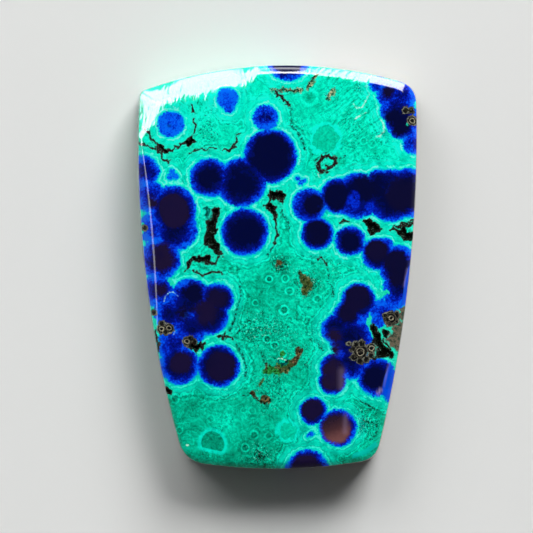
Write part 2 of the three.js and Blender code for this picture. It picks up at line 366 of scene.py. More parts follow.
# Dark hearts of nodules: x, y, radius, softness of the edge, and warmth from navy (0) over violet (0.5) to
# umber (1).
HEARTS = {
    "bright left": [(169, 125.5, 1.2, 3, 0)], "mottled": [(266, 116.5, 3, 5, 0)],
    "top edge": [(288, 60, 15, 5, 0)], "biggest": [(271, 154, 19, 4, 0.05)],
    "middle pair": [(243, 184, 13, 6, 0), (208, 178, 10.5, 4, 0.05)],
    "middle ball": [(246.5, 231, 14, 4, 0)],
    "right band": [(337, 197, 13, 3, 0.1), (366, 189, 14, 6, 0.15), (402, 194, 17, 5, 0.3)],
    "small by the band": [(314, 204.5, 9.8, 2, 0.2), (317, 232.5, 12.3, 2, 0.2)],
    "small middle right": [(349.5, 242, 9.5, 3, 0.05)], "right corner ball": [(376.5, 251, 11, 2, 0.35)],
    "right edge": [(396, 263, 12.5, 3, 0.3), (397, 276, 10, 4, 0.3)],
    "chain": [
        (357, 298, 12.8, 2, 0.35), (348, 312, 9.8, 2.5, 0.35), (334, 336, 6.5, 4, 0.55),
        (335, 350, 6, 5, 0.6), (333.5, 370, 10.5, 2.5, 0.6), (333, 381.5, 10, 2.5, 0.6),
    ],
    "lower right edge": [(374.5, 378, 11, 3, 0.1)], "lower small": [(312, 409.5, 10.5, 2, 0.45)],
    "lower umber": [(336, 428.5, 14.4, 3, 1)], "bottom edge": [(306, 470, 16, 3, 0.55)],
    "top right": [(387.5, 92.5, 6.5, 4, 0.35), (394.5, 117, 9, 4, 0.1), (401, 128, 9, 4, 0.15)],
    "left edge": [(152.5, 203, 6.5, 4, 0.55), (160.5, 291, 6.5, 4, 0.5)],
    "left violet": [(173.5, 208.5, 15, 1.2, 0.5), (174, 213, 15, 1.2, 0.5)],
    "left lower violet": [(161.5, 252, 9.5, 4.5, 0.55), (162.5, 260, 10.8, 4.5, 0.55)],
    "heart": [
        (193.5, 293.5, 9.5, 4, 0.15), (216.5, 298, 10, 4.5, 0.4), (206, 311, 12.5, 6, 0.5),
        (183, 313, 7.5, 5, 0.3),
    ],
    "lower pair": [(180.5, 363, 11, 2, 0.5), (220.5, 366.5, 14.5, 1.8, 0.42)],
}

# The umber heart grows paler along this slope, a share for each pixel.
UMBER_MIDDLE = np.array([336.0, 429.0])
UMBER_SLOPE = np.array([0.012, 0.032])

# Bright clouds inside dark azurite: x, y, radius and strength.
CLOUDS = {
    "right band": [
        (352.5, 204, 8, 1.6), (355, 194.5, 5.5, 1.2), (371, 207, 7, 1.4), (397, 196, 5, 0.3),
        (382, 213, 6, 0.6),
    ],
    "top right": [(394, 101, 7, 0.4), (404, 94, 7, 0.4)], "left skirt": [(184, 236, 9, 0.6)],
    "left edge": [(150, 222, 12, 0.7)], "heart": [(175, 300, 9, 0.5), (178, 333, 12, 0.7)],
    "left foot": [(165, 350, 9, 0.7)], "chain body": [(362, 325, 9, 0.6)],
    "right edge": [(391, 300, 9, 0.5)],
}

# Open cracks and vugs, as outlines.
HOLES = {
    "post": [
        (213.5, 208), (220.5, 207.5), (220, 211.5), (216.5, 219.5), (215.5, 229.5), (215.5, 240),
        (219, 245), (220.5, 251), (222.5, 254.5), (218, 255.5), (214, 250.5), (208.5, 247.5), (204, 243.5),
        (206, 236), (207, 225.5), (206, 221.5), (211, 220.5), (213.5, 215),
    ],
    "hook": [
        (186.5, 269.5), (187.5, 261.5), (193.5, 256.5), (200.5, 257.5), (209, 255), (211, 257.5),
        (210.5, 260.5), (216, 263), (209.5, 264.5), (202.5, 262), (195.5, 261), (191.5, 262.5),
        (189.5, 268),
    ],
    "flag": [
        (270, 191.5), (283.5, 192), (284.5, 195.5), (284, 201.5), (282.5, 206.5), (281, 201), (275, 197.5),
        (270.5, 202), (276, 206.5), (275, 210), (277, 215.5), (276, 221), (273, 214.5), (269.5, 210),
        (264, 206), (269, 202),
    ],
    "under the bright ball": [
        (155, 144), (161.5, 146), (168.5, 149.5), (168.5, 153.5), (162.5, 152.5), (158, 150.5),
    ],
    "beside the bright ball": [(183.5, 141.5), (192, 136.5), (195, 142), (188.5, 146), (184.5, 145)],
    "slot": [(338, 220), (341.5, 220.5), (349, 220.5), (347.5, 222.5), (340.5, 223)],
    "diamond": [
        (363.5, 221.5), (371, 218), (373, 221.5), (382.5, 229), (376.5, 231.5), (372, 235.5), (367.5, 231),
        (367, 225.5),
    ],
    "right edge": [
        (389, 229.5), (396.5, 229.5), (402.5, 228), (405.5, 232), (416, 233.5), (416, 240), (405.5, 240.5),
        (402, 236.5), (395.5, 232),
    ],
    "vug, foot": [(319, 169.5), (321.5, 170.5), (325, 172), (328.5, 168), (330.5, 170), (320, 175)],
    "delta": [
        (371, 324.5), (374.5, 324), (377, 330), (380, 338), (384.5, 346.5), (391, 351.5), (394.5, 353.5),
        (394, 358), (388, 357), (381, 357), (373, 361.5), (376, 356), (380, 352), (377.5, 346),
        (373.5, 343.5), (372.5, 335),
    ],
    "eye of the earth": [(382, 331), (385.5, 330), (389, 331), (389, 334.5), (386, 336.5), (382.5, 335)],
    "soot under the lace": [(189, 346.5), (194, 343.5), (205, 343.5), (203, 347), (196.5, 352)],
    "left edge": [(162, 384), (168, 388.5), (173, 391), (172, 394), (165, 393.5)],
}

# Cracks as lines: half their width, then their points.
CRACKS = {
    "arc left": (0.8, [
        (144.5, 127), (152, 138.5), (158, 145.5), (165.5, 150), (173, 149), (183.5, 143), (192, 136.5),
    ]),
    "arc, left end": (0.5, [(137, 140.5), (144.5, 146), (156, 148.5)]),
    "arc, foot": (0.6, [(158.5, 151.5), (162.5, 159.5), (165, 161), (169.5, 160.5)]),
    "beside the streaks": (0.55, [(194, 119), (196, 126), (193.5, 131.5)]),
    "streak": (0.4, [(191.5, 105), (193, 111)]),
    "stair": (0.5, [(224, 150.5), (234.5, 148), (235.5, 139), (240, 133.5)]),
    "stair, left": (0.2, [(188.5, 153.5), (199, 149.5), (216, 148)]),
    "under the top ball": (1.2, [(276, 93), (283.5, 99), (289, 105)]),
    "pole": (0.6, [(274.5, 210), (276, 217), (277, 226), (277, 236), (274.5, 243)]),
    "hook, tail": (0.6, [(211.5, 264.5), (216, 262.5), (219, 257)]),
    "under the hook": (0.4, [
        (195, 271), (201, 274), (205.5, 275), (209.5, 272.5), (218, 271.5), (222, 273.5),
    ]),
    "vug, top": (1.4, [(321.5, 159.5), (324.5, 156.5), (328, 155.5), (332, 157.5)]),
    "vug, side": (1.2, [
        (332, 157.5), (335.5, 160), (335, 165), (332.5, 166.5), (328.5, 167.5), (327, 165),
    ]),
    "vug, left": (1.1, [(321.5, 159.5), (318.5, 162.5), (318.5, 167.5), (319.5, 171)]),
    "right edge": (0.55, [(389, 229.5), (397.5, 226.5), (404.5, 222.5), (418, 220)]),
    "right edge, second": (0.5, [(402, 228), (406.5, 226), (417, 224)]),
    "earth, rim": (0.5, [(391, 349.5), (384.5, 342.5), (382.5, 337.5)]),
    "star": (0.7, [(218, 336.5), (224, 336.5), (231.5, 338.5)]),
    "star, upright": (0.7, [(224.5, 333), (223.5, 338.5)]),
    "left wall": (1.2, [(155.5, 332), (157.5, 342), (159.5, 350)]),
    "right of the middle": (0.4, [(318, 258.5), (321, 257.5), (323, 260.5), (326.5, 264.5)]),
}

# Lines of dark specks.
SPECKS = {
    "dashes under the top ball": [(276, 90), (301.5, 90.5)],
    "dashes right of it": [(308, 86.5), (311, 81.5), (316, 74.5)],
    "round the biggest ball": [(291, 108), (292, 126.5), (297, 131.5), (301.5, 138.5), (305.5, 150)],
    "right of the flag": [(281, 206.5), (281.5, 213.5), (286.5, 220.5), (290.5, 226.5), (289.5, 231)],
    "round the middle ball": [(276, 238), (275.5, 243), (272, 249), (267, 255)],
    "right of the middle": [
        (311, 256), (318, 258.5), (323, 260.5), (329, 270.5), (328, 283), (333.5, 289), (333.5, 296),
    ],
    "right of the heart": [(240, 281), (240.5, 297.5), (236, 312.5), (233.5, 322.5), (229.5, 331)],
    "round the lower pair": [(236, 345), (243, 355), (246, 366), (244.5, 378)],
    "over the olive": [(262, 352), (265, 362), (274, 368)],
    "lower middle": [(243, 396), (252, 392), (254, 397), (262, 402), (268, 406)],
    "low right": [(358, 400), (368, 405), (379, 411)],
    "low right, lower": [(363, 420), (368, 423), (378, 424), (376, 434), (370, 440)],
    "bottom": [(256, 450), (262, 455), (265, 461), (265, 468)],
    "chain, left": [(318.5, 341), (320.5, 347), (323, 350)],
    "beside the vug": [(340, 159), (346, 156)],
    "sooty spot, first": [(246.5, 319.5), (249, 320.5)],
    "sooty spot, second": [(265, 320.5), (268, 322)],
    "sooty spot, third": [(236.5, 332.5), (241, 329.5)],
    "round the vug": [(316, 171), (315.5, 161), (322, 154), (330, 153), (337, 158), (337.5, 166)],
}

# Sooty lace, as lobes: x, y, radius, and the radius of a pale ring, which shows only if it is smaller.
LACE = {
    "left": [(161.5, 329.5, 5.2, 2.2), (169, 328.5, 5.6, 2.4), (162, 323.5, 3.6, 9), (166, 333, 3.4, 9)],
    "middle": [(187, 341.5, 5.6, 2.4), (193, 342, 5.2, 9), (190.5, 338.5, 4, 9), (190.5, 345, 4, 9)],
    "right": [
        (360, 352, 8.2, 3.7), (352.5, 349.5, 4, 9), (355, 344.5, 4, 9), (361.5, 343, 4.4, 9),
        (354, 357.5, 4.4, 9), (359.5, 361, 4, 9), (366, 359.5, 4.2, 9), (371.5, 348, 6, 2.6),
        (377.5, 351.5, 3.8, 9), (371.5, 356, 4, 9),
    ],
    "left of the delta": [(347.5, 343.5, 2.8, 9)],
    "edge": [
        (390.5, 318, 8, 2.6), (384.5, 315.5, 3.6, 9), (396.5, 314, 4.2, 9), (389, 324, 3.6, 9),
        (396.5, 320.5, 3.4, 9),
    ],
    "top right": [(405.5, 110, 4.2, 9), (411.5, 110, 4, 9), (412.5, 120.5, 6, 2.6)],
    "left wall": [(144.5, 227.5, 3.8, 9), (154, 312.5, 3.4, 9)],
}

# Earth: whether it is khaki (-2), grey (-1), brown (0), green (1) or teal (2), and its outline.
EARTH = {
    "triangle": (0.3, [
        (299, 272.5), (301, 271), (304.5, 276.5), (309, 279), (312.5, 285), (309.5, 289.5), (307, 290.5),
        (305.5, 296), (302.5, 294.5), (301, 289), (302.5, 284), (300, 279),
    ]),
    "dot": (0.1, [(276, 261.5), (279, 259.5), (281.5, 262.5), (279.5, 266.5), (277, 265.5)]),
    "stick": (0, [
        (296.5, 348), (301.5, 348), (301, 354.5), (299, 359.5), (295.5, 363.5), (292, 361), (295.5, 356.5),
    ]),
    "smile": (0.25, [
        (276.5, 365), (286.5, 365), (292, 360.5), (296, 363), (291, 368), (288, 373), (281, 372.5),
        (277, 370.5),
    ]),
    "smile, left": (1, [(265, 368), (270, 367), (278, 368), (280, 373), (263, 374)]),
    "smile, end": (0.1, [(265, 364.5), (267, 365), (266, 372.5), (263, 374), (264.5, 370)]),
    "shelf": (2, [(276.5, 362), (283, 362.5), (290, 361), (287, 365), (277.5, 365)]),
    "berry": (0.15, [
        (261, 401), (262.5, 397.5), (268.5, 396), (270, 399.5), (268.5, 402.5), (265, 404), (262, 403),
    ]),
    "by the berry": (0, [(251.5, 394), (254.5, 390), (255, 394), (258, 397.5), (256.5, 399), (253, 396.5)]),
    "crumb": (0.4, [(259, 384), (261.5, 379), (263, 380), (261, 385)]),
    "oval": (1, [(279.5, 353.5), (281, 351.5), (284.5, 352), (285, 354.5), (282.5, 356)]),
    "right edge": (-1, [
        (384.5, 338), (391, 333), (391.5, 329.5), (398, 324.5), (406, 322), (407, 352), (398, 350.5),
        (391.5, 347.5), (387, 343),
    ]),
    "top of the post": (2, [(205.5, 208), (214, 208), (214, 215), (211, 221), (206, 222)]),
    "under the top ball": (-2, [(271, 89), (302, 89.5), (302, 92), (272, 91.5)]),
    "right of the top ball": (-2, [(314.5, 74), (317, 75), (309.5, 89), (306.5, 88)]),
    "tuft": (-2, [(327, 99), (329.5, 93), (335, 88.5), (335.5, 91), (331.5, 96.5), (328.5, 101)]),
    "beside the edge lace": (-0.6, [(399.5, 309), (405, 307), (405, 318), (400, 320)]),
}

# Mint veins: half their width, then their points.
VEINS = {
    "beside the delta": (1.2, [(370.5, 314.5), (369.5, 321), (371, 330), (371.5, 337)]),
    "beside the delta, knot": (1.8, [(369.5, 319), (370, 324)]),
    "eye of the earth": (2.4, [
        (381, 335.5), (381, 331.5), (385, 328.5), (389.5, 329.5), (391, 333), (388, 337.5), (383, 337),
    ]),
    "delta, upper": (1.6, [(389.5, 329.5), (394, 326), (398, 322), (404, 319.5)]),
    "delta, right": (1.2, [(381.5, 336.5), (385.5, 344.5), (391, 349.5), (397, 350.5)]),
    "delta, foot": (1.4, [(397, 350.5), (397.5, 358), (395, 367)]),
    "right notch": (2.2, [(378.5, 292), (381.5, 295.5), (387, 291.5)]),
    "left notch": (2, [(141, 224.5), (142.5, 232)]),
    "left wall": (1.8, [(153.5, 321), (156, 333), (158.5, 352)]),
    "top right lace": (0.8, [(407, 124), (408, 119), (413, 115.5)]),
    "heart wedge": (1.5, [(169, 280), (172.5, 284.5)]),
}

# Pale hairs: half their width, then their points.
HAIRS = {
    "arc": (0.3, [(164, 301), (165.5, 296), (169, 292.5), (173, 292), (177.5, 296)]),
    "over the shelf": (0.35, [(277, 359), (281, 358.5), (285, 359.5)]),
    "low speck": (0.7, [(187.5, 444.5), (188.5, 444.5)]),
    "by the vug": (0.3, [(317, 171.5), (319.5, 176.5)]),
    "squiggle": (0.5, [(369, 95), (366, 101), (362, 106), (357, 108), (354, 104)]),
    "squiggle, foot": (0.5, [(355, 119), (360, 116), (366, 112)]),
    "by the wedge": (0.6, [(381, 119), (383.5, 124), (383, 132), (380, 136), (376, 137)]),
    "lace specks": (0.4, [(174.5, 332), (173.5, 334.5)]),
}

# Painted reflections: pale, hazy streaks where the polish mirrors something warm and bright, and thin painted
# highlights along the bevel's crest: strength, half their width, then their points.
PAINTED_REFLECTIONS = {
    "chain": (0.16, 3.4, [(341.5, 371), (341.5, 387)]),
    "umber": (0.16, 2.6, [(345.5, 416), (345, 432)]),
    "lower right": (0.7, 1.4, [(378, 393.5), (381, 389.5)]),
    "lower right, crest": (0.25, 0.8, [(389.5, 363), (383.5, 386)]),
    "right crest": (0.3, 0.8, [(407.5, 268.5), (404, 286.5)]),
}

# Painted light: facets of the bevel drawn lighter, where light shines through the thin edge and off the
# facet: outlines.
LIT_FACETS = {
    "right": [
        (412, 262), (414.5, 275), (409, 290), (407, 301), (399.5, 309), (403, 295), (404.5, 281),
        (408, 268),
    ],
    "lower right": [
        (390.5, 361), (398, 366), (394, 391), (389, 407), (386, 402), (381.5, 394), (384, 378.5),
    ],
    "bottom right": [(353, 454), (366, 449), (375.5, 441.5), (378.5, 446), (366, 455), (352, 459)],
}

# Round banded eyes of malachite: x, y, radius, and how strongly they show.
EYES = {
    "top": [(309.5, 97, 9.5, 0.5)], "biggest": [(283.5, 309.5, 5.2, 1.1), (291.5, 310.5, 4.6, 0.3)],
    "middle": [(269, 279, 4.2, 1), (285.5, 278, 4.2, 0.8), (289.5, 291, 5.2, 0.7), (255, 303, 4, 0.7)],
    "right": [(318, 299, 5.4, 0.7), (307.5, 321.5, 5.4, 0.6), (323, 272, 4.4, 0.5), (338.5, 261.5, 5, 0.5)],
    "low": [(267.5, 339, 4.4, 1), (274.5, 345, 4.4, 0.9), (283, 353.5, 4.2, 0.7)],
    "left": [(200, 130.5, 5, 0.6), (215, 126, 4.2, 0.5)],
    "fan": [(372, 143.5, 4.6, 0.7), (363.5, 141, 4, 0.5)],
    "foot": [
        (179.5, 430.5, 4, 0.45), (254.5, 435, 4.8, 0.5), (268.5, 436, 4.4, 0.4), (251.5, 410.5, 4.2, 0.4),
        (243.5, 410.5, 3.6, 0.3), (211, 418.5, 4.4, 0.3), (278.5, 450, 3.8, 0.35), (245, 447.5, 4.6, 0.55),
        (174.5, 398.5, 5.4, 0.4),
    ],
}

# Plain discs of malachite with a pale rim: x, y, radius, and how dark they are.
DISCS = {
    "scalloped": (326, 139, 13.4, 0.3), "scallop": (320.5, 143.5, 6.5, 0.3),
    "half": (212.5, 443.5, 11.6, 2.6), "scalloped, low": (288, 431, 8.5, 0.2),
}
HALF_DISC_CUT = [(228, 453), (196, 446)]  # the flat lower side of the half disc

# Where the matrix is lighter or darker: x, y, radius and amount.
TONES = {
    "pale patch": (393, 151, 9, 0.18), "middle of the top eye": (309.5, 97, 2.5, -0.22),
    "crown": (262, 92, 26, 0.1), "bright ball": (168, 132, 24, 0.1),
    "left of the crown": (205, 108, 24, 0.2), "top right": (345, 112, 34, 0.05),
    "fan foot": (388, 150, 12, 0.04), "middle green": (262, 292, 20, -0.1),
    "sooty green": (250, 330, 20, -0.1), "mossy": (281, 264, 9, -0.36),
    "beside the rust": (311, 284, 8, -0.3), "right of the middle": (335, 270, 18, 0.04),
    "low left": (190, 405, 22, -0.06), "low": (228, 424, 16, 0.2), "low middle": (258, 440, 22, -0.05),
    "low right": (365, 424, 14, -0.08), "right of the chain": (352, 400, 12, 0.08),
    "bottom": (250, 462, 30, -0.1), "corner": (366, 449, 12, 0.1), "band of green": (283, 325, 14, -0.04),
}
TONE_TOP, TONE_BOTTOM = 0.72, 0.47

# Where the matrix is peppered with dark grains: x, y, radius and amount.
PEPPER = {
    "round the rust": (306, 284, 14, 1.4), "moss": (281, 265, 11, 1.2), "middle": (272, 332, 24, 0.9),
    "middle right": (318, 333, 14, 0.7), "middle left": (246, 330, 14, 0.9),
    "top left": (206, 132, 18, 0.9), "top left, high": (212, 108, 12, 0.4),
    "beside the ball": (300, 128, 12, 0.6), "under the smile": (272, 392, 22, 0.8),
    "low right": (365, 424, 18, 1), "bottom": (258, 456, 14, 1), "right of the middle": (338, 268, 18, 0.5),
    "fan": (352, 128, 26, 0.5), "beside the pair": (226, 392, 16, 0.4),
    "under the hook": (236, 272, 12, 0.4), "by the chain": (304, 360, 14, 0.5),
    "tuft, first": (330, 93, 6, 1.6), "tuft, second": (357, 88, 5, 1.5), "tuft, third": (380, 134, 5, 1.5),
}

# Zones of parallel fibres: x, y, radius and amount.
FIBRES_RIGHT = {
    "fan": (350, 108, 34, 1), "fan right": (375, 130, 20, 1),
}
FIBRES_LEFT = {
    "left": (205, 104, 20, 1), "shoulder": (173, 97, 12, 1), "corner": (148, 116, 14, 1),
    "shoulder's end": (248, 82, 11, 1),
}

# ---------------------------------------------------------------- fields on the surface

WAVES = 26
WARP = 0.35  # how far a place is moved, in pixels, by waves of these lengths
WARP_LENGTHS = (10.0, 40.0)
RAGGED = 0.9
RAGGED_LENGTHS = (3.0, 10.0)
NODULE_SINK = 0.3  # how far a nodule's centre lies below the face, as a share of its radius
# Nodules that only the wall and the back show, with the pixels of malachite that cover them at least.
BURIED = 26
BURIED_X, BURIED_Y = (140, 410), (70, 470)
BURIED_RADII = (9, 24)
BURIED_RIMS = (0.8, 1.6)
BURIED_COVER = 8
HEART_DEPTH = 0.8  # how deep a heart reaches, as a share of its radius
# Small eyes strewn over the whole face.
STRAY_EYES = 30
STRAY_X, STRAY_Y = (150, 405), (75, 460)
STRAY_RADII = (2.4, 4.4)
STRAY_STRENGTHS = (0.1, 0.4)
FADE_DOWN = 0.25  # how much slimmer cracks and small features get for each pixel of depth
LINE_END = 0.7  # how far a line reaches past its last point, in pixels
TONE_FROM, TONE_TO = 80, 460  # malachite darkens from the first to the second of these heights
FACE_LAYER = 12.0  # pixels of depth over which the small features of the face fade out
WALL_FROM, WALL_TO = 5.0, 18.0  # the wall darkens over these depths
CRUST_FROM, CRUST_TO = 270.0, 340.0  # and towards the right it has a grey brown crust


def wavy(points, size, lengths):
    """A smooth seeded noise, about as large as size, from waves in random directions."""
    total = np.zeros(len(points))
    for _ in range(WAVES):
        heading = rng.normal(size=3)
        heading /= np.linalg.norm(heading)
        length = rng.uniform(*lengths)
        total += np.sin(2 * np.pi * (points @ heading) / length + rng.uniform(0, 2 * np.pi))
    return size * total / math.sqrt(WAVES / 2)


def seen_at(vertices):
    """Each vertex in pixels of the photograph, and as the third number its depth below the face."""
    middle = FRAME_PIXELS / 2
    x = middle + (vertices[:, 0] - IMAGE_CENTRE[0]) / FACE_PIXEL
    y = middle - (vertices[:, 1] - IMAGE_CENTRE[1]) / FACE_PIXEL
    down = (top_height(vertices[:, :2]) - vertices[:, 2]) / FACE_PIXEL
    return np.column_stack([x, y, np.maximum(down, 0)])


def moved(points, size, lengths):
    right, down = wavy(points, size, lengths), wavy(points, size, lengths)
    return points + np.column_stack([right, down, np.zeros(len(points))])


def bell(away):
    return np.exp(-(away**2))


def from_point(points, x, y):
    return np.hypot(points[:, 0] - x, points[:, 1] - y)


def inside_outline(points, outline):
    """How far inside a closed outline each point lies, negative outside."""
    corners = np.array(outline + outline[:1], float)
    away = line_distance(points[:, :2], corners)
    x, y = points[:, 0], points[:, 1]
    crossings = np.zeros(len(points), int)
    for (ax, ay), (bx, by) in zip(corners[:-1], corners[1:]):
        if ay != by:
            crossings += ((ay > y) != (by > y)) & (x < ax + (y - ay) * (bx - ax) / (by - ay))
    return np.where(crossings % 2 == 1, away, -away)


def each(groups):
    """The entries of all the groups, one after another."""
    return [one for group in groups.values() for one in group]


def spots(points, listed):
    """Soft round spots, each given by its place, radius and amount, added together."""
    return sum(amount * bell(from_point(points, x, y) / radius) for x, y, radius, amount in listed)


def union(shapes):
    """The greatest depth at each point, and what the shape that has it says there.

    A shape is its depth at every point, negative outside, and then any number of values.
    """
    best = None
    for shape in shapes:
        shape = np.array(np.broadcast_arrays(*shape), float)
        best = shape if best is None else np.where(shape[0] > best[0], shape, best)
    return best


def balls():
    """All nodules: place in pixels, depth of the centre, radius there, and the width of the rim."""
    listed = []
    for x, y, radius, rim in each(NODULES):
        sink = NODULE_SINK * radius
        listed.append((x, y, sink, math.hypot(radius, sink), rim))
    thickness = FACE_MIDDLE_Z / FACE_PIXEL
    for _ in range(BURIED):
        radius = rng.uniform(*BURIED_RADII)
        x, y = rng.uniform(*BURIED_X), rng.uniform(*BURIED_Y)
        depth = rng.uniform(radius + BURIED_COVER, thickness + radius / 2)
        listed.append((x, y, depth, radius, rng.uniform(*BURIED_RIMS)))
    return listed


def nodule_fields(seen, warped, down):
    insides = []
    for x, y, depth, radius, rim in balls():
        insides.append((radius - np.hypot(from_point(warped, x, y), down - depth), rim))
    hearts = each(HEARTS)
    shares = []
    for x, y, radius, softness, _ in hearts:
        size = np.clip(1 - down / (HEART_DEPTH * radius), 0, 1)
        shares.append(np.clip(0.5 + (radius * size - from_point(warped, x, y)) / (2 * softness), 0, 1))
    weights = np.array(shares) ** 2
    warmths = np.array([warm for *_, warm in hearts])
    return {
        "azurite": union((inside,) for inside, _ in insides)[0],
        "navy": union((inside / rim,) for inside, rim in insides)[0],
        "heart": np.max(shares, axis=0),
        "warmth": warmths @ weights / (weights.sum(axis=0) + 1e-6),
        "sheen": ease(0.5 + (seen[:, :2] - UMBER_MIDDLE) @ UMBER_SLOPE),
    }


def line_fields(name, lines, points, down):
    """A line is kept as its reach, its half width and the signed distance across it.

    The distance changes evenly across the line, so that it stays sharp between the mesh's points.
    """
    shapes = []
    for half_width, line in lines.values():
        away, side = line_sides(points[:, :2], np.array(line))
        shapes.append((half_width - away, side * away, half_width))
    reach, across, half = union(shapes)
    return {name: reach - FADE_DOWN * down, name + "_across": across, name + "_half": half}


def lace_shapes(points):
    for x, y, radius, ring in each(LACE):
        away = from_point(points, x, y)
        yield radius - away, away, ring


def eye_shapes(points):
    ranges = (STRAY_X, STRAY_Y, STRAY_RADII, STRAY_STRENGTHS)
    stray = [tuple(rng.uniform(*between) for between in ranges) for _ in range(STRAY_EYES)]
    for x, y, radius, strength in each(EYES) + stray:
        yield -from_point(points, x, y) / radius, strength


def outline_shapes(points, outlines):
    for outline in outlines:
        yield (inside_outline(points, outline),)


def path_shapes(points, lines):
    for line in lines:
        yield (-line_distance(points[:, :2], np.array(line)),)


# Painted reflections: each streak's strength, fading across its half width.
def painted_reflection_shapes(points):
    for strength, half_width, line in PAINTED_REFLECTIONS.values():
        yield (strength * bell(line_distance(points[:, :2], np.array(line)) / half_width),)


def disc_shapes(seen, warped, ragged):
    for name, (x, y, radius, dark) in DISCS.items():
        inside = radius - from_point(ragged if name.startswith("scallop") else warped, x, y)
        if name == "half":
            away, side = line_sides(seen[:, :2], np.array(HALF_DISC_CUT))
            inside = np.minimum(inside, side * away)
        yield inside, dark


def surface_fields(vertices):
    seen = seen_at(vertices)
    warped = moved(seen, WARP, WARP_LENGTHS)
    ragged = moved(seen, RAGGED, RAGGED_LENGTHS)
    down = seen[:, 2]
    layer = bell(down / FACE_LAYER)
    fields = nodule_fields(seen, warped, down)
    for name, lines, points in (("crack", CRACKS, ragged), ("vein", VEINS, ragged), ("hair", HAIRS, warped)):
        fields |= line_fields(name, lines, points, down)

    lace, fields["from_middle"], fields["ring"] = union(lace_shapes(warped))
    earth, fields["earth_kind"] = union((inside_outline(ragged, line), kind) for kind, line in EARTH.values())
    eye, fields["eye_force"] = union(eye_shapes(warped))
    disc, fields["disc_shade"] = union(disc_shapes(seen, warped, ragged))
    tone_share = np.clip((seen[:, 1] - TONE_FROM) / (TONE_TO - TONE_FROM), 0, 1)
    return fields | {
        "cloud": spots(warped, each(CLOUDS)) * layer,
        "hole": union(outline_shapes(ragged, HOLES.values()))[0] - FADE_DOWN * down,
        "specks": down - union(path_shapes(warped, SPECKS.values()))[0],
        "lace": lace - 2 * FADE_DOWN * down,
        "earth": earth - 2 * FADE_DOWN * down,
        "eye": down / FACE_LAYER - eye,
        "disc": disc - down,
        "painted_reflection": union(painted_reflection_shapes(seen))[0] * layer,
        # painted light on the bevel's facets
        "facet": union(outline_shapes(seen, LIT_FACETS.values()))[0],
        "tone": TONE_TOP + (TONE_BOTTOM - TONE_TOP) * tone_share + spots(seen, TONES.values()),
        "pepper": np.clip(spots(seen, PEPPER.values()), 0, 1) * layer,
        "fibres_left": np.clip(spots(seen, FIBRES_LEFT.values()), 0, 1) * layer,
        "fibres_right": np.clip(spots(seen, FIBRES_RIGHT.values()), 0, 1) * layer,
        "bevel": np.clip(bevel_share(vertices[:, :2]), -0.5, 3),
        "wall": ease((down - WALL_FROM) / (WALL_TO - WALL_FROM)),
        "crust": ease(down / WALL_FROM) * ease((seen[:, 0] - CRUST_FROM) / (CRUST_TO - CRUST_FROM)),
    }


# ---------------------------------------------------------------- the piece

PIT_DEPTH = 0.3
PIT_EDGE = 1.5  # how far inside a crack's outline its floor drops, in pixels
FOOT_MARGIN = 0.01  # with this, the ring of points at the bevel's foot counts as the top

vertices, faces = stone_mesh()
fields = surface_fields(vertices)
sunk = np.where(fields["hole"] > PIT_EDGE, 1.0, 0.0)
on_top = vertices[:, 2] > foot_height(vertices[:, :2]) - FOOT_MARGIN
vertices[on_top, 2] -= PIT_DEPTH * sunk[on_top]

mesh = bpy.data.meshes.new("polished_freeform")
mesh.from_pydata((vertices * MM).tolist(), [], faces)
mesh.validate()
for name, values in fields.items():
    attribute = mesh.attributes.new(name, "FLOAT", "POINT")
    attribute.data.foreach_set("value", values.astype(np.float32))
mesh.shade_smooth()
in_pit = np.array([bool(sunk[list(face)].any()) for face in faces])
mesh.polygons.foreach_set("material_index", in_pit.astype(np.int32))

# A pit's rim is sharp, so that the polish round it doesn't look rounded over.
edges = np.empty(len(mesh.loops), dtype=np.int32)
mesh.loops.foreach_get("edge_index", edges)
pit_corner = np.repeat(in_pit, [len(face) for face in faces])
borders = np.zeros((2, len(mesh.edges)), bool)
borders[0, edges[pit_corner]] = True
borders[1, edges[~pit_corner]] = True
mesh.edges.foreach_set("use_edge_sharp", borders.all(axis=0))
stone = bpy.data.objects.new("polished_freeform", mesh)
bpy.context.scene.collection.objects.link(stone)
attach(stone, "root")
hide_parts("polished_stone")

# ---------------------------------------------------------------- colours and noises

# Colours are given by their 0 to 255 display values, and a ramp's stops by their places between 0 and 1.
MALACHITE = [
    (0.0, (0, 56, 42)), (0.16, (0, 100, 76)), (0.32, (0, 148, 114)), (0.48, (0, 186, 146)),
    (0.62, (0, 214, 172)), (0.76, (0, 238, 196)), (0.9, (0, 253, 212)), (1.0, (16, 255, 224)),
]
AZURITE = [
    (0.0, (0, 108, 250)), (0.08, (0, 72, 242)), (0.15, (0, 50, 222)), (0.22, (0, 26, 176)),
    (0.3, (0, 15, 130)), (0.4, (0, 10, 96)), (0.52, (0, 8, 76)), (0.7, (0, 6, 60)),
]
AZURITE_REACH = 14  # pixels from a nodule's edge inwards over which azurite darkens
HEART = [
    (0.0, (0, 6, 56)), (0.25, (6, 8, 48)), (0.5, (26, 17, 56)), (0.65, (34, 22, 48)), (1.0, (76, 47, 51)),
]
UMBER = [(0.0, (36, 24, 44)), (0.45, (72, 44, 50)), (1.0, (122, 78, 76))]
VEIN = [(0.4, (0, 214, 170)), (0.6, (40, 240, 200))]
HAIR = [(0.46, (130, 255, 228)), (0.6, (216, 248, 236))]
SOOT = [(0.46, (10, 11, 12)), (0.56, (34, 34, 32)), (0.66, (84, 80, 68))]
# Crack floors: near black, with dark green and teal bits, and pale specks that are painted glints.
PIT_WITH_PAINTED_GLINTS = [(0.48, (7, 7, 5)), (0.58, (16, 20, 14)), (0.64, (40, 66, 54)), (0.69, (140, 190, 170))]
CRUST = [(0.36, (52, 56, 44)), (0.46, (96, 88, 72)), (0.54, (124, 112, 94)), (0.64, (148, 140, 124))]
BROWN = [
    (0.4, (10, 8, 5)), (0.46, (44, 26, 10)), (0.505, (88, 50, 20)), (0.55, (34, 40, 12)),
    (0.63, (150, 104, 68)),
]
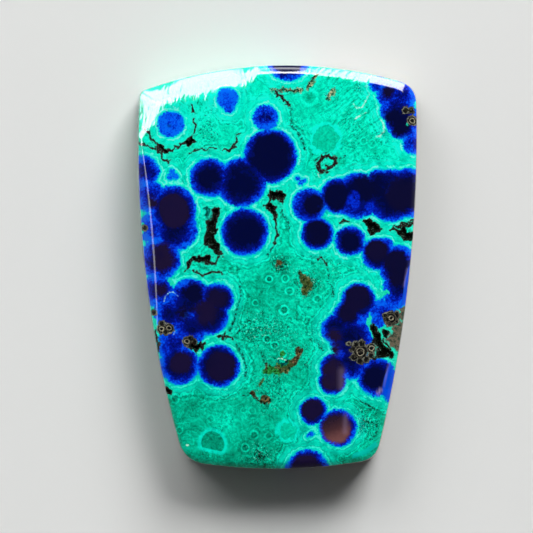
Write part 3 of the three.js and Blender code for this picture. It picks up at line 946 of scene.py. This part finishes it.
# The other kinds of earth: the kinds between which each takes over from the ones before it, and its stops.
EARTH_KINDS = [
    (0, 1, [(0.38, (20, 46, 14)), (0.46, (40, 118, 30)), (0.54, (10, 140, 60)), (0.62, (70, 176, 84))]),
    (1, 2, [(0.42, (0, 22, 22)), (0.48, (0, 74, 70)), (0.56, (0, 118, 108)), (0.66, (20, 170, 148))]),
    (0, -1, [(0.38, (46, 46, 38)), (0.48, (92, 82, 68)), (0.56, (132, 102, 86)), (0.64, (70, 72, 58))]),
    (-1, -2, [(0.4, (16, 44, 32)), (0.47, (40, 120, 90)), (0.53, (130, 160, 112)), (0.62, (204, 196, 150))]),
]
# Thin pale lines round the nodules: pixels from their edge, strength and colour.
HALO_LINES = [(2.4, 0.85, (150, 255, 236)), (7.6, 0.5, (60, 252, 216))]

# How light malachite's layers are, over the 20 pixels from a nodule's edge outwards.
LAYERS = [
    (0.05, 0.70), (0.085, 0.98), (0.13, 1.0), (0.165, 0.60), (0.20, 0.46), (0.25, 0.70), (0.36, 0.64),
    (0.40, 0.48), (0.43, 0.30), (0.47, 0.84), (0.52, 0.80), (0.56, 0.46), (0.61, 0.26), (0.67, 0.58),
    (0.78, 0.62), (0.86, 0.44), (0.93, 0.56), (1.0, 0.5),
]
LAYERS_REACH = 20
# How light a bud's rings and an eye's rings are, the eye's over three times its radius.
BUD_RINGS = [
    (0.0, 0.3), (0.1, 0.5), (0.2, 0.75), (0.26, 0.3), (0.36, 0.55), (0.44, 0.85), (0.5, 0.3),
    (0.62, 0.5), (0.8, 0.6),
]
EYE_RINGS = [
    (0.0, 0.40), (0.07, 0.34), (0.13, 0.14), (0.19, 0.24), (0.24, 0.84), (0.31, 0.82), (0.36, 0.36),
    (0.52, 0.42), (0.62, 0.60), (0.68, 0.5), (1.0, 0.5),
]
EYE_REACH = 3

LINE_SPACING = 3.3  # pixels between the fine lines that follow the nodules
CONTOURS = 9.0  # how many contours a slow noise is cut into
BUD_SCALE = 1.15  # buds along 1 mm, and how many millimetres a noise moves them
BUD_BEND = (0.7, 0.7, 0.7)
SCALLOP_SCALE = 1.5  # scallops along 1 mm
OUTER_RING = 2.1  # how many times wider than a lace ring is the second ring round it

# Noises: features along 1 mm, detail, roughness and distortion.
NOISES = {
    "fine": (9.0, 3.0, 0.65, 0.0),
    "grain": (4.2, 4.0, 0.6, 0.0),
    "patchy": (1.1, 4.0, 0.6, 0.0),
    "mottle": (2.1, 3.0, 0.55, 1.4),
    "swirl": (0.8, 3.0, 0.5, 0.8),
    "contour": (0.55, 3.0, 0.5, 0.4),
    "calm": (0.42, 2.0, 0.5, 0.0),
    "bend": (1.4, 2.0, 0.5, 0.0),
    "grains": (5.2, 3.0, 0.62, 0.0),
    "glints": (6.3, 2.0, 0.6, 0.0),
    "pale threads": (1.5, 2.0, 0.5, 0.5),
    "dark threads": (1.9, 2.0, 0.5, 0.5),
    "haze": (0.75, 3.0, 0.6, 0.6),
    "earth": (3.6, 4.0, 0.65, 0.6),
    "fibres": (1.0, 3.0, 0.6, 0.5),
    "fray": (1.0, 1.0, 0.5, 0.5),
}
FIBRE_TURNS = {"fibres_right": 40, "fibres_left": 80}  # degrees from the X axis
FIBRE_SIZE = (0.9, 0.2, 0.9)  # millimetres long, wide and deep
FRAY_SIZE = (1.6, 0.34, 1.6)

POLISH = 0.06  # how rough the polished face is, then a crack's edge, and then its floor
EDGE_ROUGHNESS = 0.22
PIT_ROUGHNESS = 0.9
STONE_IOR = 1.7
GRAIN_HEIGHT = 0.02  # millimetres that the grain stands out, and how much of it the gleam shows
GRAIN_STRENGTH = 0.25

# ---------------------------------------------------------------- the material

# Depths and distances are pixels of the photograph. In the recipes below, around's last number is how far a
# noise moves an edge or a lightness, and fit's are where a change begins and ends, and from what to what it
# goes. The lightness of malachite runs from 0 to 1, along its ramp.


def linear(red, green, blue):
    """A colour given by its 0 to 255 display values."""
    parts = (value / 255 for value in (red, green, blue))
    return tuple(p / 12.92 if p <= 0.04045 else ((p + 0.055) / 1.055) ** 2.4 for p in parts) + (1.0,)


class Recipe:
    """Adds nodes to a tree. Wherever a value is asked for, a number, a colour or a socket will do."""

    def __init__(self, tree):
        self.tree = tree
        self.noises = {}

    def feed(self, socket, value):
        if isinstance(value, bpy.types.NodeSocket):
            self.tree.links.new(value, socket)
        else:
            socket.default_value = linear(*value) if socket.type == "RGBA" and len(value) == 3 else value

    def node(self, kind, inputs, **settings):
        made = self.tree.nodes.new(kind)
        for name, value in settings.items():
            setattr(made, name, value)
        for name, value in inputs.items():
            self.feed(made.inputs[name], value)
        return made

    def math(self, operation, *values):
        return self.node("ShaderNodeMath", dict(enumerate(values)), operation=operation).outputs[0]

    def add(self, *values):
        return reduce(lambda a, b: self.math("ADD", a, b), values)

    def times(self, *values):
        return reduce(lambda a, b: self.math("MULTIPLY", a, b), values)

    def around(self, value, size):
        """A value that swings about 0.5, made to swing about 0, times the size."""
        return self.times(self.add(value, -0.5), size)

    def frayed(self, value, fine, grain):
        """The value of an edge or a lightness, moved to and fro by the fine noise and by the grain."""
        fraying = self.around(self.noise("fine"), fine), self.around(self.noise("grain"), grain)
        return self.add(value, *fraying)

    def distance(self, value, place):
        return self.math("ABSOLUTE", self.math("SUBTRACT", value, place))

    def fit(self, value, low, high, start=0.0, end=1.0):
        """The value's place between low and high, eased and held at both ends."""
        inputs = {"Value": value, "From Min": low, "From Max": high, "To Min": start, "To Max": end}
        return self.node("ShaderNodeMapRange", inputs, interpolation_type="SMOOTHSTEP").outputs["Result"]

    def wave(self, phase):
        """0 to 1 and back for each whole step of the phase."""
        return self.math("MULTIPLY_ADD", self.math("SINE", self.times(phase, 2 * math.pi)), 0.5, 0.5)

    def mix(self, share, a, b):
        return self.node("ShaderNodeMix", {0: share, 6: a, 7: b}, data_type="RGBA").outputs[2]

    def mix_values(self, share, a, b):
        return self.node("ShaderNodeMix", {0: share, 2: a, 3: b}, data_type="FLOAT").outputs[0]

    def paint(self, colour, *coats):
        """The colour with coats over it, each given as how much it covers and its own colour."""
        return reduce(lambda under, coat: self.mix(coat[0], under, coat[1]), coats, colour)

    def stops(self, value, stops):
        made = self.node("ShaderNodeValToRGB", {"Fac": value})
        elements = made.color_ramp.elements
        while len(elements) < len(stops):
            elements.new(1.0)
        for element, (position, colour) in zip(elements, stops):
            element.position = position
            element.color = colour
        return made.outputs["Color"]

    def ramp(self, value, stops):
        return self.stops(value, [(position, linear(*colour)) for position, colour in stops])

    def curve(self, value, stops):
        """A number that follows the stops, each given as a position and a value between 0 and 1."""
        return self.stops(value, [(position, (level, level, level, 1.0)) for position, level in stops])

    def field(self, name):
        return self.node("ShaderNodeAttribute", {}, attribute_name=name).outputs["Fac"]

    def millimetres(self):
        """Where the shaded point lies, in millimetres."""
        where = self.node("ShaderNodeTexCoord", {}).outputs["Object"]
        return self.node("ShaderNodeVectorMath", {0: where, "Scale": 1 / MM}, operation="SCALE").outputs[0]

    def texture(self, name, where):
        inputs = dict(zip(("Scale", "Detail", "Roughness", "Distortion"), NOISES[name]), Vector=where)
        return self.node("ShaderNodeTexNoise", inputs).outputs

    def noise(self, name):
        """One of the noises, the same wherever it is asked for."""
        if name not in self.noises:
            self.noises[name] = self.texture(name, self.millimetres())[0]
        return self.noises[name]

    def cells(self, where, scale):
        """The distance to the middle of the nearest of many cells."""
        return self.node("ShaderNodeTexVoronoi", {"Vector": where, "Scale": scale}).outputs["Distance"]

    def fibres(self, name, turn, size):
        """A noise stretched along the angle, with fibres of the given length, width and depth."""
        inputs = {"Vector": self.millimetres(), "Rotation": (0, 0, math.radians(turn)), "Scale": size}
        stretched = self.node("ShaderNodeMapping", inputs, vector_type="TEXTURE").outputs[0]
        return self.texture(name, stretched)[0]

    def thread(self, name):
        """1 along the thin wandering lines where a noise passes its middle."""
        return self.fit(self.distance(self.noise(name), 0.5), 0.03, 0.0)

    def line(self, name):
        """How far inside a line of the surface's fields the point lies, in pixels."""
        across = self.math("ABSOLUTE", self.field(name + "_across"))
        inside = self.math("SUBTRACT", self.field(name + "_half"), across)
        return self.math("MINIMUM", inside, self.add(self.field(name), LINE_END))


def banding(r, outward, scalloped):
    """How the layers round the nodules, and finer lines, contours and buds, change malachite's lightness."""
    swirl = r.noise("swirl")
    layered = r.add(scalloped, r.around(swirl, r.fit(outward, 4.0, 14.0, 0.0, 16.0)), 1.0)
    layers = r.curve(r.times(layered, 1 / LAYERS_REACH), LAYERS)
    lines = r.wave(r.add(r.times(outward, 1 / LINE_SPACING), r.times(swirl, 1.6)))
    contours = r.wave(r.times(r.noise("contour"), CONTOURS))
    at = r.millimetres()
    bend = {0: r.texture("bend", at)["Color"], 1: BUD_BEND, 2: at}
    bent = r.node("ShaderNodeVectorMath", bend, operation="MULTIPLY_ADD").outputs[0]
    buds = r.curve(r.cells(bent, BUD_SCALE), BUD_RINGS)
    return r.add(
        r.around(layers, r.fit(r.noise("patchy"), 0.36, 0.58, 0.5, 1.0)),
        r.around(lines, r.fit(outward, 2.0, 26.0, 0.07, 0.03)),
        r.around(contours, r.fit(outward, 8.0, 20.0, 0.0, 0.13)),
        r.around(buds, r.fit(outward, 5.0, 12.0, 0.0, 0.32)),
    )


def mottling(r, eye, tone, pepper):
    """How mottles, grains, threads, fibres and eyes change malachite's lightness."""
    patchy = r.noise("patchy")
    calm = r.times(r.fit(r.noise("calm"), 0.42, 0.56, 0.1, 1.0), r.fit(tone, 0.5, 0.62, 0.6, 1.0))
    unrest = r.times(
        r.fit(eye, 1.3, 2.3, 0.06, 1.0),
        r.fit(r.field("bevel"), 0.3, 1.2, 0.4, 1.0),
        r.math("MAXIMUM", calm, r.fit(pepper, 0.0, 0.7)),
    )
    mottles = r.around(r.noise("mottle"), 0.95)
    fine_share, grain_share = r.fit(pepper, 0.0, 1.0, 0.45, 1.1), r.fit(pepper, 0.0, 1.0, 0.6, 1.3)
    restless = r.add(
        r.frayed(mottles, fine_share, grain_share),
        r.times(r.thread("pale threads"), 0.22),
        r.times(r.thread("dark threads"), -0.2),
    )
    fibres = [
        r.times(r.around(r.fibres("fibres", turn, FIBRE_SIZE), 1.5), r.field(name))
        for name, turn in FIBRE_TURNS.items()
    ]
    rings = r.curve(r.times(eye, 1 / EYE_REACH), EYE_RINGS)
    force = r.times(r.field("eye_force"), r.fit(patchy, 0.38, 0.5, 0.4, 1.0))
    return r.add(r.times(restless, unrest), r.around(patchy, 0.75), *fibres, r.around(rings, force))


def malachite_colour(r, azurite):
    """Layers follow the nodules' outlines, and between them lie mottling, swirls, eyes, discs and pepper."""
    grain, mottle, patchy = r.noise("grain"), r.noise("mottle"), r.noise("patchy")
    tone, pepper, disc = r.field("tone"), r.field("pepper"), r.field("disc")
    outward = r.times(azurite, -1.0)  # pixels from the nearest nodule
    scallops = r.times(r.cells(r.millimetres(), SCALLOP_SCALE), -2.5)
    scalloped = r.add(outward, r.around(grain, 2.5), r.around(mottle, 6.0), scallops)
    eye = r.add(r.field("eye"), r.around(grain, 0.35))
    lightness = r.add(tone, banding(r, outward, scalloped), mottling(r, eye, tone, pepper))

    in_disc = r.fit(disc, -0.8, 0.8)
    halo = r.times(r.fit(r.add(disc, r.around(grain, 3.0)), -4.6, -2.0), r.fit(disc, 0.4, -0.5))
    plain = r.add(0.62, r.around(grain, 0.5), r.around(mottle, 0.6), r.times(r.field("disc_shade"), -0.10))
    lightness = r.add(r.mix_values(in_disc, lightness, plain), r.times(halo, 0.24))

    grains = r.add(r.noise("grains"), r.fit(pepper, 0.0, 1.0, -0.18, 0.0))
    dark = r.times(r.fit(grains, 0.53, 0.60), r.fit(disc, 0.0, -1.5))
    green = r.mix(r.times(dark, 0.85), r.ramp(lightness, MALACHITE), (0, 58, 44))
    for distance, strength, colour in HALO_LINES:
        broken = r.times(r.fit(patchy, 0.42, 0.54, 0.0, strength), r.fit(tone, 0.5, 0.7, 0.3, 1.0))
        green = r.mix(r.times(r.fit(r.distance(scalloped, distance - 1), 0.8, 0.2), broken), green, colour)
    # Painted glints: pale mint and white specks, strewn most where the matrix is peppered; partly pale
    # grains, partly painted highlights.
    glints = r.times(r.fit(r.noise("glints"), 0.64, 0.72), r.fit(pepper, 0.0, 0.7, 0.06, 0.85))
    near = r.fit(r.add(outward, r.times(grain, 4.0)), 3.6, 2.0, 0.0, 0.45)
    return r.paint(
        green,
        (glints, r.mix(r.fit(pepper, 0.8, 1.0), (110, 255, 234), (180, 255, 236))),
        (r.fit(outward, 14.0, 4.0, 0.0, 0.2), (0, 228, 226)),
        (r.times(halo, 0.35), (0, 232, 222)),
        (near, (0, 190, 240)),
        # Painted light: the bevel's facets drawn lighter over malachite.
        (r.fit(r.field("facet"), -0.4, 0.4, 0.0, 0.8), (0, 206, 190)),
    )


def azurite_colour(r):
    """A fuzzy bright rim, navy inside, hearts of violet or umber, and painted light on the bevel and its
    facets.
    """
    grain, patchy = r.noise("grain"), r.noise("patchy")
    deep = r.add(r.frayed(r.field("navy"), 8.0, 10.0), r.around(patchy, 10.0))
    clouding = r.times(r.field("cloud"), r.fit(patchy, 0.32, 0.55, 0.35, 1.0))
    deep = r.mix_values(r.fit(clouding, 0.15, 1.0), deep, r.frayed(2.8, 4.0, 6.0))
    # Painted light: on the bevel the azurite is drawn lighter, as light shines through the thin edge.
    deep = r.add(deep, r.fit(r.field("bevel"), 0.5, 1.3, -2.0, 0.0))
    haze = r.fit(r.noise("haze"), 0.5, 0.68, 0.0, 0.4)
    warmth = r.times(r.field("warmth"), r.fit(patchy, 0.25, 0.5, 0.75, 1.0))
    umber = r.ramp(r.add(r.field("sheen"), r.around(grain, 0.25)), UMBER)
    clouded = r.add(r.times(clouding, -0.9), r.times(haze, -0.3))
    heart = r.add(r.field("heart"), r.around(grain, 0.6), r.around(patchy, 0.8), clouded)
    return r.paint(
        r.ramp(r.times(deep, 1 / AZURITE_REACH), AZURITE),
        (r.times(haze, r.fit(deep, 3.0, 8.0)), (0, 26, 140)),
        (r.fit(heart, 0.05, 0.95), r.mix(r.fit(warmth, 0.66, 0.9), r.ramp(warmth, HEART), umber)),
        # Painted light: the bevel's facets drawn lighter over azurite.
        (r.fit(r.field("facet"), -0.4, 0.4, 0.0, 0.85), (0, 80, 230)),
    )


def earth_colour(r):
    """Brown earth, or one of the other kinds over it."""
    kind, mixed = r.field("earth_kind"), r.noise("earth")
    kinds = [(r.fit(kind, start, end), r.ramp(mixed, stops)) for start, end, stops in EARTH_KINDS]
    return r.paint(r.ramp(mixed, BROWN), *kinds)


def soot(r):
    """How much of the lace shows, and its colour: pale edges and rings on black."""
    grain, patchy = r.noise("grain"), r.noise("patchy")
    lace = r.frayed(r.field("lace"), 2.0, 5.0)
    edge = r.times(r.fit(r.distance(lace, 0.9), 0.6, 0.15), r.fit(patchy, 0.4, 0.56, 0.15, 0.8))
    from_middle, ring = r.add(r.field("from_middle"), r.around(grain, 3.0)), r.field("ring")
    outer = r.fit(r.distance(from_middle, r.times(ring, OUTER_RING)), 0.5, 0.1, 0.0, 0.25)
    inner = r.times(r.fit(r.distance(from_middle, ring), 0.55, 0.15), r.fit(patchy, 0.38, 0.5, 0.55, 0.95))
    coats = ((edge, (146, 148, 132)), (outer, (150, 146, 124)), (inner, (176, 170, 144)))
    return r.fit(lace, -0.5, 0.4), r.paint(r.ramp(grain, SOOT), *coats)


def opening(r):
    """How far inside a hole or crack the point lies, in pixels."""
    wander = r.fit(r.field("crack_half"), 0.4, 1.2, 2.5, 6.0)
    return r.math("MAXIMUM", r.frayed(r.field("hole"), 2.0, 4.5), r.frayed(r.line("crack"), 1.5, wander))


def stone_colour(r, hole):
    """Malachite and azurite, and over them veins, earth, lace, open cracks, hairs, painted reflections and
    the wall's crust.
    """
    fine, grain, patchy = r.noise("fine"), r.noise("grain"), r.noise("patchy")
    azurite = r.field("azurite")
    ragged = r.frayed(azurite, 4.0, 8.0)
    earth = r.add(r.frayed(r.field("earth"), 4.0, 4.0), 0.7)
    dots = r.times(r.fit(r.add(r.field("specks"), r.times(fine, 4.0)), 4.2, 2.2), r.fit(grain, 0.44, 0.54))
    glow = r.times(r.fit(hole, -3.2, -1.6), r.fit(grain, 0.42, 0.6, 0.0, 0.8), r.fit(azurite, -1.0, -4.0))
    hair = r.fit(r.frayed(r.line("hair"), 2.0, 5.0), -0.3, 0.3)
    rind = r.add(r.times(patchy, 0.7), r.times(grain, 0.3))
    return r.paint(
        malachite_colour(r, azurite),
        (r.fit(ragged, -0.5, 0.5), azurite_colour(r)),
        (r.fit(r.add(r.line("vein"), r.around(grain, 2.0)), -0.4, 0.5), r.ramp(fine, VEIN)),
        (r.fit(earth, -0.8, 0.6, 0.0, 0.96), earth_colour(r)),
        (dots, (12, 22, 14)),
        soot(r),
        (glow, (30, 240, 205)),
        (r.fit(hole, -0.9, -0.4), (46, 28, 18)),
        # Open cracks, near black with painted glints.
        (r.fit(hole, -0.4, 0.1), r.ramp(fine, PIT_WITH_PAINTED_GLINTS)),
        (r.times(hair, r.fit(patchy, 0.36, 0.5, 0.35, 0.9)), r.ramp(fine, HAIR)),
        # Painted reflections: pale pinkish streaks where the polish mirrors something bright.
        (r.field("painted_reflection"), (178, 158, 200)),
        (r.times(r.field("wall"), 0.6), (16, 26, 22)),
        (r.times(r.field("crust"), r.fit(patchy, 0.3, 0.5, 0.55, 0.95)), r.ramp(rind, CRUST)),
    )


def stone_bump(r):
    """A hint of grain, and fibres that fray the gleam on the bevel."""
    height = r.add(r.times(r.noise("grain"), 0.5), r.times(r.noise("fine"), 0.15))
    on_malachite = r.fit(r.field("azurite"), 0.0, -3.0, 0.0, 30.0)
    on_bevel = r.fit(r.field("bevel"), 1.4, 1.0, 0.05, 1.0)
    for name, turn in FIBRE_TURNS.items():
        fibres = r.times(r.fibres("fray", turn, FRAY_SIZE), r.field(name))
        height = r.add(height, r.times(fibres, on_malachite, on_bevel))
    inputs = {"Height": height, "Strength": GRAIN_STRENGTH, "Distance": GRAIN_HEIGHT * MM}
    return r.node("ShaderNodeBump", inputs).outputs[0]


def new_material(piece, name, constants):
    """A new material on the piece: its recipe, and its shader's inputs with the constants set."""
    material = bpy.data.materials.new(name)
    material.use_nodes = True
    piece.data.materials.append(material)
    sockets = material.node_tree.nodes["Principled BSDF"].inputs
    for socket, value in constants.items():
        sockets[socket].default_value = value
    return Recipe(material.node_tree), sockets


def stone_material():
    """The polished rock, which loses its gleam at the edges of cracks."""
    r, sockets = new_material(stone, "azurite_malachite", {"IOR": STONE_IOR})
    hole = opening(r)
    r.feed(sockets["Base Color"], stone_colour(r, hole))
    r.feed(sockets["Roughness"], r.fit(hole, -0.4, 0.1, POLISH, EDGE_ROUGHNESS))
    r.feed(sockets["Normal"], stone_bump(r))


def pit_material():
    """The floors and walls of open cracks, which don't gleam; their pale specks are painted glints."""
    constants = {"Roughness": PIT_ROUGHNESS, "Specular IOR Level": 0.0}
    r, sockets = new_material(stone, "azurite_malachite_pits", constants)
    r.feed(sockets["Base Color"], r.ramp(r.noise("fine"), PIT_WITH_PAINTED_GLINTS))


stone_material()
pit_material()

# ---------------------------------------------------------------- floor, light and camera

FLOOR_SIZE = 6.0
FLOOR_COLOUR = (0.755, 0.762, 0.75, 1.0)

floor_mesh = bpy.data.meshes.new("floor")
half = FLOOR_SIZE / 2
corners = [(-half, -half, 0), (half, -half, 0), (half, half, 0), (-half, half, 0)]
floor_mesh.from_pydata(corners, [], [(0, 1, 2, 3)])
floor = bpy.data.objects.new("floor", floor_mesh)
bpy.context.scene.collection.objects.link(floor)
new_material(floor, "floor", {"Base Color": FLOOR_COLOUR, "Roughness": 0.9, "IOR": 1.3})

LIGHT_DISTANCE = 2.0

# Soft windows: the azimuths and elevations of their sides, in degrees, their radiance, and whether they light
# the scene or only gleam on polish.
WINDOWS = {
    "key": (50, 84, 18, 48, 14.3, "light"),
    "fill": (96, 140, 20, 48, 4.1, "light"),
    "gleam_right": (56, 84.5, 16, 62, 12.0, "gleam"),
    "gleam_gap": (84.5, 94, 26, 36, 5.0, "gleam"),
    "gleam_left": (94, 134, 16, 62, 12.0, "gleam"),
    "gleam_far_left": (134, 170, 16, 62, 12.0, "gleam"),
    "gleam_strip": (176, 191, 53, 61, 3.0, "gleam"),
}

# The sky's brightness from the horizon up, and its fading towards the viewer: two places along Y, and the
# shares of the brightness there.
SKY = [(0.0, 0.5), (0.8, 0.018)]
SKY_FADE = (-0.7, 0.1, 0.4, 1.0)


def direction(azimuth, elevation):
    azimuth, elevation = math.radians(azimuth), math.radians(elevation)
    flat = math.cos(elevation)
    return Vector((math.cos(azimuth) * flat, math.sin(azimuth) * flat, math.sin(elevation)))


def window(name, start, end, low, high, radiance, purpose):
    elevation = (low + high) / 2
    towards = direction((start + end) / 2, elevation)
    half_width = math.radians(end - start) / 2
    half_height = math.radians(high - low) / 2
    light = bpy.data.lights.new(name, "AREA")
    light.shape = "RECTANGLE"
    light.size = 2 * LIGHT_DISTANCE * math.tan(half_width) * math.cos(math.radians(elevation))
    light.size_y = 2 * LIGHT_DISTANCE * math.tan(half_height)
    light.energy = radiance * math.pi * light.size * light.size_y
    lamp = bpy.data.objects.new(name, light)
    lamp.location = towards * LIGHT_DISTANCE
    lamp.rotation_euler = towards.to_track_quat("Z", "Y").to_euler()
    lamp.visible_camera = False
    lamp.visible_diffuse = purpose == "light"
    lamp.visible_glossy = purpose == "gleam"
    bpy.context.scene.collection.objects.link(lamp)


for name, values in WINDOWS.items():
    window(name, *values)

world = bpy.data.worlds.new("studio")
bpy.context.scene.world = world
world.use_nodes = True
sky = Recipe(world.node_tree)
way = sky.node("ShaderNodeSeparateXYZ", {0: sky.node("ShaderNodeTexCoord", {}).outputs["Generated"]})
background = world.node_tree.nodes["Background"]
sky.feed(background.inputs["Color"], sky.curve(way.outputs["Z"], SKY))
sky.feed(background.inputs["Strength"], sky.fit(way.outputs["Y"], *SKY_FADE))

camera_data = bpy.data.cameras.new("camera")
camera_data.sensor_width = 36.0
camera_data.lens = camera_data.sensor_width * CAMERA_RISE / (FRAME_PIXELS * PIXEL)
camera_data.clip_start = 0.01
camera = bpy.data.objects.new("camera", camera_data)
camera.location = (IMAGE_CENTRE[0] * MM, IMAGE_CENTRE[1] * MM, (CAMERA_RISE + OUTLINE_Z) * MM)
bpy.context.scene.collection.objects.link(camera)
bpy.context.scene.camera = camera
bpy.context.scene.view_settings.view_transform = "Standard"
